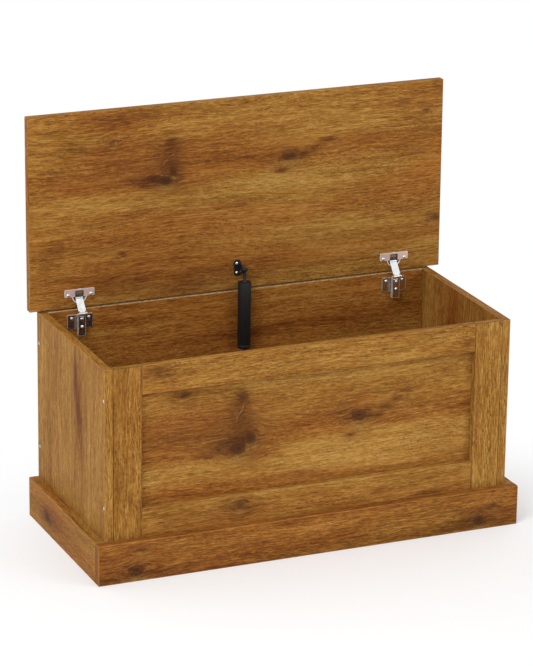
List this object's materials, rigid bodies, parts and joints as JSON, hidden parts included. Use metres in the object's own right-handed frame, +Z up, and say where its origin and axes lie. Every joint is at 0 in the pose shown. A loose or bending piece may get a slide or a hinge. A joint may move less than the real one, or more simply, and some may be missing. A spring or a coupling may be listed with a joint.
{
  "type": "storage chest",
  "caption": "Rectangular wooden storage chest with a framed front and a plinth; its flip-up lid turns on concealed hinges and is held by a telescopic stay.",
  "frame": {"origin": "centre of the open chest's footprint, on the floor", "axes": "+X along the chest's length towards its right end, +Y towards its back, +Z up"},
  "size_m": [0.8, 0.363, 0.7395],
  "materials": {
    "lid_wood": "satin",
    "upright_wood": "satin",
    "front_wood": "satin",
    "inner_wood": "satin",
    "joint_screw_metal": "satin",
    "screw_metal": "polished",
    "link_metal": "polished",
    "hinge_metal": "satin",
    "stay_metal": "satin"
  },
  "bodies": {
    "chest_body": {"back_panel": "inner_wood", "bottom_panel": "inner_wood", "bottom_runner": "inner_wood", "front_bottom_rail": "front_wood", "front_centre_panel": "front_wood", "front_stile_left": "upright_wood", "front_stile_right": "upright_wood", "front_top_rail": "front_wood", "hinge_arm_left": "hinge_metal", "hinge_arm_right": "hinge_metal", "hinge_arm_screw_left_high": "screw_metal", "hinge_arm_screw_left_low": "screw_metal", "hinge_arm_screw_right_high": "screw_metal", "hinge_arm_screw_right_low": "screw_metal", "hinge_link_pin_left": "hinge_metal", "hinge_link_pin_right": "hinge_metal", "hinge_mounting_plate_left": "hinge_metal", "hinge_mounting_plate_right": "hinge_metal", "hinge_plate_screw_left_inner": "screw_metal", "hinge_plate_screw_left_outer": "screw_metal", "hinge_plate_screw_right_inner": "screw_metal", "hinge_plate_screw_right_outer": "screw_metal", "plinth_front": "front_wood", "plinth_left": "front_wood", "plinth_right": "front_wood", "side_panel_left": "upright_wood", "side_panel_right": "upright_wood", "side_screw_left_front_high": "joint_screw_metal", "side_screw_left_front_low": "joint_screw_metal", "side_screw_left_rear_high": "joint_screw_metal", "side_screw_left_rear_low": "joint_screw_metal", "side_screw_right_front_high": "joint_screw_metal", "side_screw_right_front_low": "joint_screw_metal", "side_screw_right_rear_high": "joint_screw_metal", "side_screw_right_rear_low": "joint_screw_metal", "stay_base_bracket": "stay_metal", "stay_base_pin": "stay_metal", "stay_base_screw_high": "screw_metal", "stay_base_screw_low": "screw_metal"},
    "lid": {"lid_panel": "lid_wood", "hinge_cup_left": "hinge_metal", "hinge_cup_right": "hinge_metal", "hinge_cup_screw_left_inner": "screw_metal", "hinge_cup_screw_left_outer": "screw_metal", "hinge_cup_screw_right_inner": "screw_metal", "hinge_cup_screw_right_outer": "screw_metal", "stay_lid_bracket": "stay_metal", "stay_lid_pin": "stay_metal", "stay_lid_screw_high": "screw_metal", "stay_lid_screw_low": "screw_metal"},
    "hinge_link_left_body": {"hinge_link_left": "link_metal"},
    "hinge_link_right_body": {"hinge_link_right": "link_metal"},
    "stay_tube_body": {"stay_tube": "stay_metal"},
    "stay_rod_body": {"stay_rod": "stay_metal"}
  },
  "joints": [
    {"name": "lid_hinge", "type": "hinge", "parent": "chest_body", "child": "lid", "pos_m": [0, 0.16973, 0.39125], "axis": [1, 0, 0], "range_deg": [0, 90.5]},
    {"name": "link_left", "type": "hinge", "parent": "chest_body", "child": "hinge_link_left_body", "pos_m": [-0.307, 0.14548, 0.38], "axis": [1, 0, 0], "range_deg": [0, 130.41]},
    {"name": "link_right", "type": "hinge", "parent": "chest_body", "child": "hinge_link_right_body", "pos_m": [0.307, 0.14548, 0.38], "axis": [1, 0, 0], "range_deg": [0, 130.41]},
    {"name": "tube_swing", "type": "hinge", "parent": "lid", "child": "stay_tube_body", "pos_m": [0.003, 0.14649, 0.4264], "axis": [1, 0, 0], "range_deg": [-87.01, 0]},
    {"name": "rod_swing", "type": "hinge", "parent": "chest_body", "child": "stay_rod_body", "pos_m": [0.003, 0.14079, 0.18], "axis": [1, 0, 0], "range_deg": [0, 3.51]}
  ],
  "couplings": [
    {"joint": "link_left", "follows": "lid_hinge", "ratio": 1.4409},
    {"joint": "link_right", "follows": "lid_hinge", "ratio": 1.4409},
    {"joint": "tube_swing", "follows": "lid_hinge", "ratio": -0.9613},
    {"joint": "rod_swing", "follows": "lid_hinge", "ratio": 0.0387}
  ]
}
